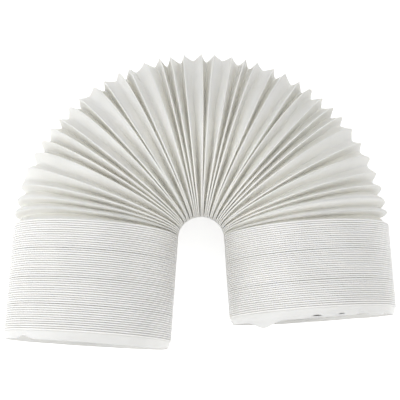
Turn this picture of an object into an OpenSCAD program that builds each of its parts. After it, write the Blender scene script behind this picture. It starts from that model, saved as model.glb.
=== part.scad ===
// Flexible pleated air duct, lying on its side and bent into an arch.
// A steel wire runs round the duct in the hem of every pleat, and thin film folds inward between
// the hems. The legs are pleats packed tight, and the bend between them is the same pleats fanned out.

/* [Duct] */
// Inside diameter over the hems, which is the size of the spigot that it slips on
bore_d = 150; // [100:1:200]
// Diameter of the spring steel wire
wire_d = 0.9; // [0.7:0.1:1.2]
// Thickness of the film
film_t = 0.25; // [0.2:0.05:0.35]
// Play between the wire and its hem
wire_play = 0.05; // [0.04:0.01:0.08]
// Width of film from one hem to the bottom of the fold
fold_w = 8.9; // [8:0.1:11]

/* [Bend] */
// Radius of the duct's centreline in the bend
bend_radius = 97.6; // [96:0.2:112]
// How far the left leg splays outward, in degrees
left_splay = 3.7; // [0:0.1:5]
// How far the right leg splays outward, in degrees
right_splay = 3.7; // [0:0.1:5]
// Sides of the film's folds in the bend
film_sides = 28; // [20:2:28]

/* [Legs] */
// Distance between hems where the left leg's pleats are packed
left_pitch = 1.96; // [1.85:0.01:2.6]
// Distance between hems where the right leg's pleats are packed
right_pitch = 1.87; // [1.85:0.01:2.6]
// Hems in each of the left leg's packs, from the bend down
left_turns = [13, 13, 12, 12];
// Hems in each of the right leg's packs, from the bend down
right_turns = [14, 14, 13];
// Length of the plain film edge at each end
cuff_len = 7; // [5:0.5:12]

/* [Resting face] */
// How deep the hems are flattened where they lie on a surface
flat_depth = 0.5; // [0.3:0.1:0.6]

/* [Hidden] */
PLEATS = 38;
FILM_ENDS = [0, 10, 19, 28, PLEATS];
SEAT = 0.05;
BIG = 1000;
ROUND_SIDES = 96;
HEM_SIDES = 8;

bore_r = bore_d / 2;
hem_d = wire_d + 2 * (wire_play + film_t);
ring_r = bore_r + SEAT + hem_d / 2;
crest_r = ring_r + hem_d / 2;
ridge_r = bore_r;
axis_z = crest_r - flat_depth;

start_a = 180 - left_splay;
end_a = right_splay;
step_a = (start_a - end_a) / PLEATS;
step_rad = step_a * PI / 180;

left_len = (total(left_turns) - 1) * left_pitch;
right_len = (total(right_turns) - 1) * right_pitch;

// Where the frame's origin lies from the bend's axis: under the middle of the whole duct.
left_tip = leg_corner(180 - left_splay, 1, left_len, bend_radius + crest_r);
right_tip = leg_corner(right_splay, -1, right_len, bend_radius + crest_r);
left_toe = leg_corner(180 - left_splay, 1, left_len, bend_radius - crest_r);
right_toe = leg_corner(right_splay, -1, right_len, bend_radius - crest_r);
middle_x = (left_tip[0] + right_tip[0]) / 2;
middle_y = (bend_radius + crest_r + min(left_toe[1], right_toe[1], left_tip[1], right_tip[1])) / 2;

function turn_name(i) = str("turn_", i < 10 ? "0" : "", i);
function total(v, n = undef) =
    let (last = is_undef(n) ? len(v) : n)
    last == 0 ? 0 : v[last - 1] + total(v, last - 1);
function plane_a(i) = start_a - i * step_a;
function turned(a, p) = [p[0] * cos(a) - p[1] * sin(a), p[0] * sin(a) + p[1] * cos(a)];
function leg_corner(a, way, length, out) =
    turned(a, [out, way * (length + hem_d / 2 + cuff_len)]);

// Depth of a fold whose two hems lie a distance apart, and how far the film's thickness
// moves its inner face inward along the radius.
function fold_depth(gap) = sqrt(fold_w * fold_w - gap * gap / 4);
function inward(gap) = film_t * fold_w / (gap / 2);

// A point of the bend's film, at an angle round the bend, an angle round the duct and a radius.
function film_point(bend_a, side_a, r) =
    [
        (bend_radius + r * cos(side_a)) * cos(bend_a),
        (bend_radius + r * cos(side_a)) * sin(bend_a),
        axis_z + r * sin(side_a)
    ];
function hem_gap(side_a) = (bend_radius + ridge_r * cos(side_a)) * step_rad;

// One loop of the film: an even row is a ridge under a hem, an odd one the bottom of a fold.
function film_loop(row, inner) =
    [for (s = [0 : film_sides - 1])
        let (
            side_a = (s + 0.5) * 360 / film_sides,
            gap = hem_gap(side_a),
            depth = row % 2 == 0 ? 0 : fold_depth(gap)
        )
        film_point(plane_a(row / 2), side_a, ridge_r - depth - (inner ? inward(gap) : 0))];

// Two triangles of the band between loops a and b, numbered by their first points.
function band(a, b) =
    [for (s = [0 : film_sides - 1], k = [0, 1])
        let (next = (s + 1) % film_sides)
        k == 0 ? [a + s, b + s, b + next] : [a + s, b + next, a + next]];

module lay_flat() {
    difference() {
        children();
        translate([-BIG / 2, -BIG / 2, -BIG])
            cube(BIG);
    }
}

module in_frame() {
    translate([-middle_x, -middle_y, 0])
        lay_flat()
            children();
}

// Turns the children, drawn round the Z axis, so that they run along the duct from a plane of the bend.
module along_duct(a, way) {
    rotate([0, 0, a])
        translate([bend_radius, 0, axis_z])
            rotate([way > 0 ? -90 : 90, 0, 0])
                children();
}

// Cross-sections of the wire and of the welded hem that it lies in.
module wire_section() {
    translate([ring_r, 0])
        circle(d = wire_d, $fn = HEM_SIDES);
}

module channel_section() {
    translate([ring_r, 0])
        circle(d = wire_d + 2 * wire_play, $fn = HEM_SIDES);
}

module hem_section() {
    difference() {
        translate([ring_r, 0])
            circle(d = hem_d, $fn = HEM_SIDES);
        channel_section();
    }
}

module spun() {
    rotate_extrude($fn = ROUND_SIDES)
        children();
}

// One turn of the bend: the wire, and the welded hem round it.
module turn(i) {
    in_frame()
        along_duct(plane_a(i), 1)
            color("whitesmoke")
                spun()
                    hem_section();
    in_frame()
        along_duct(plane_a(i), 1)
            color("lightslategray")
                spun()
                    wire_section();
}

// The bend's film from one hem to another, folded inward between them.
module bend_film(first, last) {
    rows = 2 * (last - first);
    inside = (rows + 1) * film_sides;
    points = concat(
        [for (row = [0 : rows]) each film_loop(2 * first + row, false)],
        [for (row = [0 : rows]) each film_loop(2 * first + row, true)]
    );
    outer_faces = [for (row = [0 : rows - 1]) each band(row * film_sides, (row + 1) * film_sides)];
    inner_faces = [for (row = [0 : rows - 1])
        each band(inside + (row + 1) * film_sides, inside + row * film_sides)];
    end_faces = concat(band(inside, 0), band(rows * film_sides, inside + rows * film_sides));
    color("ivory")
        translate([-middle_x, -middle_y, 0])
            polyhedron(points, concat(outer_faces, inner_faces, end_faces));
}

// A pack of closed pleats: the film pressed flat, with a welded hem and its channel at every turn.
module pack_section(count, pitch) {
    root = ridge_r - fold_depth(pitch);
    length = (count - 1) * pitch;
    difference() {
        union() {
            translate([root, SEAT])
                square([ring_r - root, length - SEAT]);
            for (k = [0 : count - 1])
                translate([ring_r, k * pitch])
                    circle(d = hem_d, $fn = HEM_SIDES);
        }
        for (k = [0 : count - 1])
            translate([0, k * pitch])
                channel_section();
    }
}

module leg_film(a, way, turns, n, pitch) {
    color("whitesmoke")
        in_frame()
            along_duct(a, way)
                translate([0, 0, total(turns, n) * pitch])
                    spun()
                        pack_section(turns[n], pitch);
}

// The turns of wire inside that pack.
module leg_wire(a, way, turns, n, pitch) {
    color("lightslategray")
        for (k = [0 : turns[n] - 1])
            in_frame()
                along_duct(a, way)
                    translate([0, 0, (total(turns, n) + k) * pitch])
                        spun()
                            wire_section();
}

// Outline of one packed fold, as radius and distance along the leg.
function fold_line(pitch, shift) =
    [for (k = [0 : 2]) [ridge_r - (k == 1 ? fold_depth(pitch) : 0) - shift, k * pitch / 2]];
function backward(v) = [for (k = [len(v) - 1 : -1 : 0]) v[k]];

// The folds between a leg's packs, which open as the leg is drawn out.
module leg_folds(a, way, turns, pitch) {
    color("ivory")
        for (n = [1 : len(turns) - 1])
            in_frame()
                along_duct(a, way)
                    translate([0, 0, (total(turns, n) - 1) * pitch])
                        spun()
                            polygon(concat(fold_line(pitch, 0), backward(fold_line(pitch, inward(pitch)))));
}

// The plain film edge past the last hem.
module cuff(a, way, length) {
    color("floralwhite")
        in_frame()
            along_duct(a, way)
                translate([0, 0, length + hem_d / 2 + SEAT])
                    spun()
                        translate([ridge_r, 0])
                            square([film_t, cuff_len - SEAT]);
}

for (i = [1 : PLEATS - 1])
    turn(i);
for (i = [1 : len(FILM_ENDS) - 1])
    bend_film(FILM_ENDS[i - 1], FILM_ENDS[i]);
for (i = [1 : len(left_turns)]) {
    leg_film(start_a, 1, left_turns, i - 1, left_pitch);
    leg_wire(start_a, 1, left_turns, i - 1, left_pitch);
}
for (i = [1 : len(right_turns)]) {
    leg_film(end_a, -1, right_turns, i - 1, right_pitch);
    leg_wire(end_a, -1, right_turns, i - 1, right_pitch);
}
leg_folds(start_a, 1, left_turns, left_pitch);  // left_folds
leg_folds(end_a, -1, right_turns, right_pitch);  // right_folds
cuff(start_a, 1, left_len);  // left_cuff
cuff(end_a, -1, right_len);  // right_cuff
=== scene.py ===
"""A pleated flexible air duct, bent into an arch: film folds, wired hems, packed legs and plain ends."""
import math
import random

import bpy
from mathutils import Matrix, Vector, noise


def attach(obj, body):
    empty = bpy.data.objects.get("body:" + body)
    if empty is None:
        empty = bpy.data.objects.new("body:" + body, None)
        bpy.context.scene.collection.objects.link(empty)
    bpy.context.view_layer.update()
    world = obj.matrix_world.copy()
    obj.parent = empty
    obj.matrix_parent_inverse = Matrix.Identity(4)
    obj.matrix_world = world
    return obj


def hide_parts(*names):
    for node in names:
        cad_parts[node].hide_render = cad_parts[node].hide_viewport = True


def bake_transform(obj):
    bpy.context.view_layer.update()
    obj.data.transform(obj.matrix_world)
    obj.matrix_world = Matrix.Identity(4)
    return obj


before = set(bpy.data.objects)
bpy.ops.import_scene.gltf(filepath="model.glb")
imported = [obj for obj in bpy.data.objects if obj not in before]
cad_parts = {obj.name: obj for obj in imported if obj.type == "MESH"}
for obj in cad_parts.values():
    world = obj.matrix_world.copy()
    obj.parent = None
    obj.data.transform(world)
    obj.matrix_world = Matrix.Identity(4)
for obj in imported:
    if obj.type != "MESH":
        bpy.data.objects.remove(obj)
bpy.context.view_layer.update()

# ---------------------------------------------------------------- sizes, in metres and degrees
MM = 0.001
PLEATS = 38
FILM_ENDS = (0, 10, 19, 28, PLEATS)
LEFT_TURNS = (13, 13, 12, 12)
RIGHT_TURNS = (14, 14, 13)
LEFT_SPLAY = 3.7
RIGHT_SPLAY = 3.7
BEND_R = 97.6 * MM
LEFT_PITCH = 1.96 * MM
RIGHT_PITCH = 1.87 * MM
FOLD_W = 8.9 * MM
WIRE_D = 0.9 * MM
HEM_D = 1.5 * MM
RIDGE_R = 75 * MM
RING_R = 75.8 * MM
CREST_R = RING_R + HEM_D / 2
AXIS_Z = 76.05 * MM
CUFF_LEN = 7 * MM
WELD_W = 1.0 * MM        # the seen hem of the bend, along the duct and out from it
WELD_H = 1.12 * MM
FILM_DEEP = 0.7 * MM     # how thick a fold's film is along the radius
PACK_DEEP = 0.6 * MM     # the same at the bottom of a packed fold
EDGE_THICK = 0.35 * MM

# Points round the duct, along a fold, round a hem, round a wire and along a plain edge.
SIDES = 144
WIRE_SIDES = 96
EDGE_SIDES = 288
BEND_FOLD_STEPS = 18
LEG_FOLD_STEPS = 14
HEM_STEPS = 12
WIRE_STEPS = 8
EDGE_ROWS = 10

START_A = 180 - LEFT_SPLAY
END_A = RIGHT_SPLAY
STEP_A = (START_A - END_A) / PLEATS
LEFT_LEN = (sum(LEFT_TURNS) - 1) * LEFT_PITCH
RIGHT_LEN = (sum(RIGHT_TURNS) - 1) * RIGHT_PITCH


def leg_corner(a, way, length, out):
    """A corner of a leg's end, as x and y from the bend's axis."""
    a = math.radians(a)
    along = way * (length + HEM_D / 2 + CUFF_LEN)
    return out * math.cos(a) - along * math.sin(a), out * math.sin(a) + along * math.cos(a)


def bend_axis():
    """The bend's axis, from an origin under the middle of the whole duct."""
    tips = [
        leg_corner(a, way, length, BEND_R + out)
        for a, way, length in ((START_A, 1, LEFT_LEN), (END_A, -1, RIGHT_LEN))
        for out in (CREST_R, -CREST_R)
    ]
    middle_x = (tips[0][0] + tips[2][0]) / 2
    middle_y = (BEND_R + CREST_R + min(y for x, y in tips)) / 2
    return Vector((-middle_x, -middle_y, 0))


BEND_AXIS = bend_axis()

# How unevenly the hems stand: the crests' lean in degrees, and the shift at the side that faces up.
draw = random.Random(11)
LEAN = 0.5
CREST_LEAN = [0.0] + [draw.uniform(-LEAN, LEAN) for i in range(1, PLEATS)] + [0.0]
VALLEY_AT = [draw.uniform(0.34, 0.66) for i in range(PLEATS)]
VALLEY_WANDER = 0.16
BUNCHED = 2.2 * MM
BUNCH_SIZES = (2, 3, 2, 4)
# How many degrees the crests next to a leg lie nearer to it, and over how many hems.
LEFT_DRIFT = (1.5, 4)
RIGHT_DRIFT = (-2.0, 6.5)
PUFF_REACH = 2           # hems over which the film next to a leg stays puffed up


def bunched():
    """How far each hem is shifted at the side that faces up, where hems gather in twos and threes."""
    shifts = [0.0]
    while len(shifts) < PLEATS:
        size = draw.choice(BUNCH_SIZES)
        reach = BUNCHED * draw.uniform(0.7, 1.1)
        shifts += [reach * (2 * k / (size - 1) - 1) for k in range(size)]
    return shifts[:PLEATS] + [0.0]


TOP_SHIFT = bunched()
OUTER_SHIFT = 0.35       # how much more the hems are shifted towards the outside of the bend


def drift(i):
    """How much nearer to its leg a crest lies, in degrees."""
    for far, (most, reach) in ((i, LEFT_DRIFT), (PLEATS - i, RIGHT_DRIFT)):
        if far < reach:
            return most * math.sin(math.pi * far / reach)
    return 0.0


def puff(i):
    """How rounded the film is over hem i: most next to the legs, and not at all on a leg's own hem."""
    far = min(i, PLEATS - i)
    return 0.0 if far == 0 else math.exp(-(((far - 1) / PUFF_REACH) ** 2))


def crest_share(side):
    """1 at the outside of the bend and 0 at its throat."""
    return (1 + math.cos(side)) / 2


def hem_a(i, side):
    """The angle of hem i round the bend, at an angle round the duct where 0 is the crest and 90 the top."""
    crest = (CREST_LEAN[i] + drift(i)) * crest_share(side)
    shift = TOP_SHIFT[i] * math.sin(side) * (1 + OUTER_SHIFT * math.cos(side))
    return START_A - i * STEP_A + crest + math.degrees(shift / (BEND_R + RIDGE_R * math.cos(side)))


def along_duct(a, way, y):
    """The matrix from a duct lying along Z to the duct that leaves the bend at angle a."""
    place = Matrix.Translation(BEND_AXIS) @ Matrix.Rotation(math.radians(a), 4, "Z")
    place = place @ Matrix.Translation((BEND_R, 0, AXIS_Z))
    place = place @ Matrix.Rotation(math.radians(-90 if way > 0 else 90), 4, "X")
    return place @ Matrix.Translation((0, 0, y))


def bend_point(a, out, up):
    """The place at an angle round the bend, a distance from its axis and a height over the duct's own."""
    a = math.radians(a)
    return BEND_AXIS + Vector((out * math.cos(a), out * math.sin(a), AXIS_Z + up))


def fold_depth(gap):
    """Depth of a fold whose hems lie a distance apart."""
    return math.sqrt(max(FOLD_W**2 - gap**2 / 4, 0))


def seen_depth(gap, rounded):
    """Depth of the open part of a fold: film that is squeezed together or puffed up leaves less of it."""
    closed_gap, opening = 2 * MM, 5 * MM
    least_share, puffed_loss = 0.22, 0.3
    open_share = min(1, max(0, (gap - closed_gap) / opening))
    squeezed = least_share + (1 - least_share) * open_share**2 * (3 - 2 * open_share)
    return fold_depth(gap) * squeezed * (1 - puffed_loss * rounded)


# ---------------------------------------------------------------- modelling
def new_piece(name):
    """The object that the last primitive made, under its own name."""
    piece = bpy.context.object
    piece.name = piece.data.name = name
    return piece


def spun(name, outline, sides=SIDES):
    """A closed outline of (radius, height) points, spun round Z."""
    bpy.ops.object.select_all(action="DESELECT")
    bpy.ops.mesh.primitive_circle_add(vertices=len(outline), radius=1)
    piece = new_piece(name)
    flat = [c for r, z in outline for c in (r, 0, z)]
    piece.data.vertices.foreach_set("co", flat)
    bpy.ops.object.mode_set(mode="EDIT")
    bpy.ops.mesh.select_all(action="SELECT")
    bpy.ops.mesh.spin(steps=sides, angle=math.tau, center=(0, 0, 0), axis=(0, 0, 1))
    bpy.ops.mesh.select_all(action="SELECT")
    bpy.ops.mesh.remove_doubles(threshold=1e-6)
    bpy.ops.mesh.normals_make_consistent(inside=False)
    bpy.ops.object.mode_set(mode="OBJECT")
    bpy.ops.object.shade_smooth()
    return piece


def another(piece, name):
    """A copy of a piece with its own mesh."""
    twin = piece.copy()
    twin.data = piece.data.copy()
    twin.name = twin.data.name = name
    bpy.context.collection.objects.link(twin)
    return twin


def reshape(piece, move):
    """Moves every point of the piece with a function of its place."""
    for v in piece.data.vertices:
        v.co = move(v.co)
    piece.data.update()


def fold_share(t, crest=0.0, rounded=0.0):
    """How deep the film lies at a share t of the way from hem to hem.

    It hangs with a soft bottom where a fold is pulled open at the crest, and elsewhere it swells out
    beside its hems and leaves a narrow bottom, most of all where it is rounded.
    """
    soft = 0.06 + 0.2 * crest
    full = math.sqrt(1 + soft**2)
    pointed = (full - math.sqrt((2 * t - 1) ** 2 + soft**2)) / (full - soft)
    swelling = 1 + 0.6 * (1 - crest) + 1.1 * rounded
    return max(pointed, 0) ** swelling


def fold_outline(steps):
    """The closed outline of one fold on a unit scale, its outer face at radius 1 and its inner one at 2."""
    share = [k / steps for k in range(steps + 1)]
    return [(1, t) for t in share] + [(2, t) for t in reversed(share)]


def is_inner(p):
    """Whether a point of that unit fold is on its inner face."""
    return math.hypot(p.x, p.y) > 1.5


def bead_outline(half_w, half_h, steps):
    """The closed outline of a hem or a wire."""
    turn = [math.tau * k / steps for k in range(steps)]
    return [(RING_R + half_h * math.cos(a), half_w * math.sin(a)) for a in turn]


def uneven(seed, side, along, waves=1.5):
    """A small smooth unevenness that varies round the duct and along it."""
    place = Vector((waves * math.cos(side), waves * math.sin(side), along))
    return noise.noise(place + Vector((0, 0, 31.7 * seed)))


# ---------------------------------------------------------------- materials
def new_material(name):
    """A material with its nodes, its links and its surface."""
    mat = bpy.data.materials.new(name)
    mat.use_nodes = True
    return mat, mat.node_tree.nodes, mat.node_tree.links, mat.node_tree.nodes["Principled BSDF"]


def film_material(name, tint, rough, crease, glow):
    """Warm white soft PVC film: faint cloudiness, fine creases, a soft sheen and light that seeps through."""
    mat, nodes, links, skin = new_material(name)
    skin.inputs["Roughness"].default_value = rough
    skin.inputs["Specular IOR Level"].default_value = 0.35
    skin.inputs["Subsurface Weight"].default_value = glow
    skin.inputs["Subsurface Radius"].default_value = (1.0, 0.93, 0.8)
    skin.inputs["Subsurface Scale"].default_value = 0.004
    where = nodes.new("ShaderNodeTexCoord")
    cloud = nodes.new("ShaderNodeTexNoise")
    cloud.inputs["Scale"].default_value = 30
    cloud.inputs["Detail"].default_value = 4
    links.new(where.outputs["Object"], cloud.inputs["Vector"])
    ramp = nodes.new("ShaderNodeValToRGB")
    ramp.color_ramp.elements[0].position = 0.35
    ramp.color_ramp.elements[0].color = (*[0.95 * c for c in tint], 1)
    ramp.color_ramp.elements[1].position = 0.65
    ramp.color_ramp.elements[1].color = (*tint, 1)
    links.new(cloud.outputs["Fac"], ramp.inputs["Fac"])
    links.new(ramp.outputs["Color"], skin.inputs["Base Color"])
    fine = nodes.new("ShaderNodeTexNoise")
    fine.inputs["Scale"].default_value = 260
    fine.inputs["Detail"].default_value = 6
    links.new(where.outputs["Object"], fine.inputs["Vector"])
    bump = nodes.new("ShaderNodeBump")
    bump.inputs["Strength"].default_value = crease
    bump.inputs["Distance"].default_value = 0.0005
    links.new(fine.outputs["Fac"], bump.inputs["Height"])
    links.new(bump.outputs["Normal"], skin.inputs["Normal"])
    return mat


def wire_material():
    """Bright drawn spring steel."""
    mat, nodes, links, skin = new_material("spring_steel")
    skin.inputs["Metallic"].default_value = 1.0
    skin.inputs["Roughness"].default_value = 0.3
    where = nodes.new("ShaderNodeTexCoord")
    grain = nodes.new("ShaderNodeTexNoise")
    grain.inputs["Scale"].default_value = 900
    links.new(where.outputs["Object"], grain.inputs["Vector"])
    ramp = nodes.new("ShaderNodeValToRGB")
    ramp.color_ramp.elements[0].color = (0.42, 0.42, 0.43, 1)
    ramp.color_ramp.elements[1].color = (0.62, 0.62, 0.63, 1)
    links.new(grain.outputs["Fac"], ramp.inputs["Fac"])
    links.new(ramp.outputs["Color"], skin.inputs["Base Color"])
    return mat


# The folds' film, in the bend and between the packs, is the same cream film as the packs and hems but painted
# brighter and warmer: painted light for the light that seeps through the folds, and a painted warm tone for
# the shade in their valleys.
FILM_PAINTED_BRIGHTER = film_material("film", (0.975, 0.955, 0.875), 0.45, 0.12, 0.6)
HEM = film_material("hem", (0.93, 0.915, 0.86), 0.42, 0.1, 0.4)
PACKED = film_material("packed_film", (0.93, 0.92, 0.895), 0.42, 0.08, 0.4)
EDGE = film_material("film_edge", (0.82, 0.815, 0.785), 0.38, 0.25, 0.5)
STEEL = wire_material()


def paint(piece, mat):
    """Gives a piece one material."""
    piece.data.materials.clear()
    piece.data.materials.append(mat)


def dress(piece, mat):
    """Gives a new piece its material."""
    paint(piece, mat)


def film_node(i):
    """The CAD node that holds fold i of the bend."""
    ends = zip(FILM_ENDS, FILM_ENDS[1:])
    return next(f"bend_film_{n}" for n, (first, last) in enumerate(ends, 1) if first <= i < last)


def fanned(i):
    """The move that turns the unit fold into fold i of the bend."""
    lift = 0.2 * MM          # of the film over its hems, up to three times as much where it is puffed up
    taut_gap = 7 * MM        # between hems that are far enough apart for the film to show its slackness

    def move(p):
        side = math.atan2(p.y, p.x)
        near, far = hem_a(i, side), hem_a(i + 1, side)
        gap = (BEND_R + RIDGE_R * math.cos(side)) * math.radians(near - far)
        valley = VALLEY_AT[i] + VALLEY_WANDER * uneven(i + 40, side, 0)
        t = p.z / 0.5 * valley if p.z < 0.5 else valley + (p.z - 0.5) / 0.5 * (1 - valley)
        rounded = puff(i) + p.z * (puff(i + 1) - puff(i))
        top = RING_R + lift * (1 + 2 * rounded)
        depth = seen_depth(gap, rounded) + top - RIDGE_R
        r = top - fold_share(p.z, crest_share(side) ** 3, rounded) * depth
        slack = 4 * p.z * (1 - p.z) * min(1, gap / taut_gap)
        r += slack * (0.9 * uneven(i, side, 3 * p.z) + 0.35 * uneven(i + 9, side, 8 * p.z, 5)) * MM
        if is_inner(p):
            r -= FILM_DEEP
        return bend_point(near + (far - near) * t, BEND_R + r * math.cos(side), r * math.sin(side))

    return move


def standing(i, wider):
    """The move that sets a ring on its place in the bend, wider by a share at the throat."""

    def move(p):
        side = math.atan2(p.y, p.x)
        r = math.hypot(p.x, p.y)
        out = BEND_R + r * math.cos(side)
        along = p.z * (1 + wider * ((1 - math.cos(side)) / 2) ** 3)
        return bend_point(hem_a(i, side) - math.degrees(along / out), out, r * math.sin(side))

    return move


def make_bend():
    """The folds between the legs, and the hem and the wire of every turn."""
    one_fold = spun("one_fold", fold_outline(BEND_FOLD_STEPS))
    one_hem = spun("one_hem", bead_outline(WELD_W / 2, WELD_H / 2, HEM_STEPS))
    one_wire = spun("one_wire", bead_outline(WIRE_D / 2, WIRE_D / 2, WIRE_STEPS), WIRE_SIDES)
    for i in range(PLEATS):
        fold = another(one_fold, f"bend_fold_{i + 1:02d}")
        reshape(fold, fanned(i))
        dress(fold, FILM_PAINTED_BRIGHTER)
        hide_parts(film_node(i))
        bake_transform(fold)
    for i in range(1, PLEATS):
        hem = another(one_hem, f"hem_{i:02d}")
        reshape(hem, standing(i, 0.6))
        dress(hem, HEM)
        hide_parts(f"turn_{i:02d}")
        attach(hem, f"turn_{i:02d}")
        wire = another(one_wire, f"wire_turn_{i:02d}")
        reshape(wire, standing(i, 0))
        dress(wire, STEEL)
        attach(wire, f"turn_{i:02d}")
    for piece in (one_fold, one_hem, one_wire):
        bpy.data.objects.remove(piece)


# ---------------------------------------------------------------- the legs
def pack_outline(count, pitch):
    """The closed outline of a pack: a hem at every turn and the closed fold between every two."""
    bottom = RIDGE_R - fold_depth(pitch)
    half_w, half_h = 0.41 * pitch, HEM_D / 2
    seat = RING_R - 0.05 * MM
    under_hem = RIDGE_R - 1.1 * MM
    outer, inner = [], []
    for k in range(count):
        y = k * pitch
        for step in range(-3, 4):
            a = math.radians(32 * step)
            outer.append((seat + half_h * math.cos(a), y + half_w * math.sin(a)))
        inner.append((under_hem, y))
        if k < count - 1:
            outer.append((bottom, y + 0.5 * pitch))
            inner.append((bottom - PACK_DEEP, y + 0.36 * pitch))
            inner.append((bottom - PACK_DEEP, y + 0.64 * pitch))
    return outer + inner[::-1]


def pressed(seed, before):
    """The move that makes a leg's hems lie a little unevenly on each other."""

    def move(p):
        side = math.atan2(p.y, p.x)
        y = before + p.z
        shift = 0.2 * MM * uneven(seed, side, 400 * y)
        r = math.hypot(p.x, p.y) + min(0.2 * uneven(seed + 3, side, 600 * y), 0.05) * MM
        return Vector((r * math.cos(side), r * math.sin(side), p.z + shift))

    return move


def shut(pitch):
    """The move that turns the unit fold into the closed fold between two packs."""
    deep = fold_depth(pitch)

    def move(p):
        r = RIDGE_R - fold_share(p.z) * deep - (FILM_DEEP if is_inner(p) else 0)
        scale = r / math.hypot(p.x, p.y)
        return Vector((p.x * scale, p.y * scale, p.z * pitch))

    return move


def make_leg(side, seed, a, way, turns, pitch):
    """The packs of a leg and the open folds between them."""
    place = along_duct(a, way, 0)
    for n, count in enumerate(turns):
        y = sum(turns[:n]) * pitch
        body = f"{side}_pack_{n + 1}"
        film = spun(f"{side}_pleats_{n + 1}", pack_outline(count, pitch))
        reshape(film, pressed(seed, y))
        film.data.transform(along_duct(a, way, y))
        dress(film, PACKED)
        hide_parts(f"{side}_film_{n + 1}")
        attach(film, body)
        paint(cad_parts[f"{side}_wire_{n + 1}"], STEEL)
        if n:
            fold = spun(f"{side}_fold_{n}", fold_outline(LEG_FOLD_STEPS))
            reshape(fold, shut(pitch))
            fold.data.transform(along_duct(a, way, y - pitch))
            dress(fold, FILM_PAINTED_BRIGHTER)
            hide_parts(f"{side}_folds")
            start, end = place @ Vector((0, 0, y - pitch)), place @ Vector((0, 0, y))
            tuple(start)
            tuple(end)
            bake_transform(fold)


# ---------------------------------------------------------------- the plain film edges
def bump_at(side, middle, width):
    """A smooth bump of height 1 at a place round the duct, all in degrees."""
    away = (side - middle + 180) % 360 - 180
    return math.exp(-((away / width) ** 2))


def edge_band(name):
    """A plain band of film, one unit long."""
    outline = [(RIDGE_R + EDGE_THICK, k / EDGE_ROWS) for k in range(EDGE_ROWS + 1)]
    outline += [(RIDGE_R, k / EDGE_ROWS) for k in range(EDGE_ROWS, -1, -1)]
    return spun(name, outline, EDGE_SIDES)


def left_edge(side, t):
    """The left end, as a length and an inset in millimetres: a band curled in, notched where it was cut."""
    a = math.radians(side)
    long = 8.3 - 1.4 * (1 - math.sin(a)) + 0.4 * uneven(2, a, 0)
    long += 0.5 * bump_at(side, 150, 9) - 1.6 * bump_at(side, 172, 14) - 3.2 * bump_at(side, 46, 6)
    return long, 1.3 * t * t + 0.5 * t * uneven(4, a, 2 * t, 3)


def right_edge(side, t):
    """The right end, likewise: crumpled film, scalloped near its top, with a flap that hangs out."""
    a = math.radians(side)
    scallops = sum(bump_at(side, middle, 4.5) for middle in (60, 75, 92))
    long = 8.6 - 2.7 * (1 - math.sin(a)) + 0.6 * uneven(6, a, 0, 4)
    long += 5.6 * bump_at(side, 131, 9) - 2.8 * scallops - 1.5 * bump_at(side, 34, 2.5)
    crumple = 1.6 * uneven(5, a, 3 * t, 4) + 0.7 * uneven(7, a, 5 * t, 12)
    return long, 1.4 * t * t + t * (0.4 + 0.9 * scallops + crumple)


def cut(way, shape):
    """The move that cuts a unit band to the shape of a leg's end."""

    def move(p):
        round_a = math.atan2(p.y, p.x)
        long, inset = shape(-way * math.degrees(round_a), p.z)
        r = math.hypot(p.x, p.y) - inset * MM
        return Vector((r * math.cos(round_a), r * math.sin(round_a), p.z * long * MM))

    return move


def make_edge(side, a, way, length, last_pack, shape):
    """The plain film past a leg's last hem."""
    band = edge_band(f"{side}_film_edge")
    reshape(band, cut(way, shape))
    band.data.transform(along_duct(a, way, length + HEM_D / 2))
    dress(band, EDGE)
    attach(band, f"{side}_pack_{last_pack}")
    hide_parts(f"{side}_cuff")


# ---------------------------------------------------------------- studio
FLOOR_Z = -0.5 * MM
VIEW_TILT = 9.2
VIEW_AWAY = 1.2


def make_camera(scene):
    """The camera, tilted a little from straight above."""
    aim = Vector((-0.0003, 0.0006, AXIS_Z))
    tilt = math.radians(VIEW_TILT)
    cam = bpy.data.cameras.new("camera")
    cam.lens = 116.0
    cam.sensor_width = 36
    cam.clip_end = 20
    holder = bpy.data.objects.new("camera", cam)
    scene.collection.objects.link(holder)
    holder.location = aim + VIEW_AWAY * Vector((0, -math.sin(tilt), math.cos(tilt)))
    holder.rotation_euler = (tilt, 0, 0)
    scene.camera = holder


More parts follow.
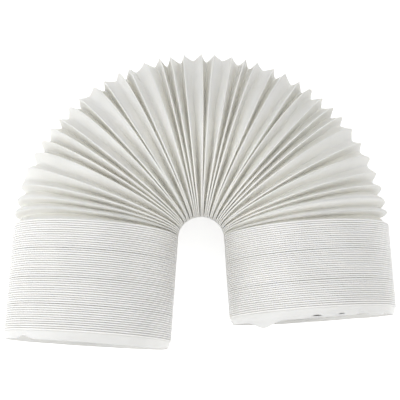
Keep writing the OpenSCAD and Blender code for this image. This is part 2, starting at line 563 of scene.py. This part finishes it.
def make_floor():
    """A floor that looks nearly white and keeps the shadow, and throws no glow on the duct."""
    bpy.ops.object.select_all(action="DESELECT")
    bpy.ops.mesh.primitive_plane_add(size=8, location=(0, 0, FLOOR_Z))
    floor = new_piece("floor")
    mat, nodes, links, skin = new_material("floor")
    skin.inputs["Base Color"].default_value = (0.82, 0.82, 0.82, 1)
    skin.inputs["Roughness"].default_value = 0.9
    glow = nodes.new("ShaderNodeEmission")
    glow.inputs["Strength"].default_value = 0.72
    add = nodes.new("ShaderNodeAddShader")
    path = nodes.new("ShaderNodeLightPath")
    seen = nodes.new("ShaderNodeMath")
    seen.operation = "MAXIMUM"
    mirrored = nodes.new("ShaderNodeMath")
    mirrored.operation = "MAXIMUM"
    mix = nodes.new("ShaderNodeMixShader")
    links.new(skin.outputs["BSDF"], add.inputs[0])
    links.new(glow.outputs["Emission"], add.inputs[1])
    links.new(path.outputs["Is Glossy Ray"], mirrored.inputs[0])
    links.new(path.outputs["Is Transmission Ray"], mirrored.inputs[1])
    links.new(path.outputs["Is Camera Ray"], seen.inputs[0])
    links.new(mirrored.outputs["Value"], seen.inputs[1])
    links.new(seen.outputs["Value"], mix.inputs["Fac"])
    links.new(skin.outputs["BSDF"], mix.inputs[1])
    links.new(add.outputs["Shader"], mix.inputs[2])
    links.new(mix.outputs["Shader"], nodes["Material Output"].inputs["Surface"])
    floor.data.materials.append(mat)


def make_lamp(scene, name, spot, size, power):
    """A square lamp that points at the duct."""
    light = bpy.data.lights.new(name, "AREA")
    light.size = size
    light.energy = power
    thing = bpy.data.objects.new(name, light)
    scene.collection.objects.link(thing)
    thing.location = spot
    thing.rotation_euler = (Vector((0, 0, 0.05)) - Vector(spot)).to_track_quat("-Z", "Y").to_euler()


def make_studio():
    """Camera, floor, an even white world and two soft lamps."""
    scene = bpy.context.scene
    scene.view_settings.view_transform = "Standard"
    make_camera(scene)
    make_floor()
    world = bpy.data.worlds.new("studio")
    scene.world = world
    world.use_nodes = True
    world.node_tree.nodes["Background"].inputs["Color"].default_value = (1, 1, 1, 1)
    world.node_tree.nodes["Background"].inputs["Strength"].default_value = 0.82
    make_lamp(scene, "key", (-1.3, -0.5, 0.9), 1.2, 9)
    make_lamp(scene, "fill", (0.9, -1.0, 0.9), 1.4, 4)


make_bend()
make_leg("left", 5, START_A, 1, LEFT_TURNS, LEFT_PITCH)
make_leg("right", 8, END_A, -1, RIGHT_TURNS, RIGHT_PITCH)
make_edge("left", START_A, 1, LEFT_LEN, len(LEFT_TURNS), left_edge)
make_edge("right", END_A, -1, RIGHT_LEN, len(RIGHT_TURNS), right_edge)
make_studio()
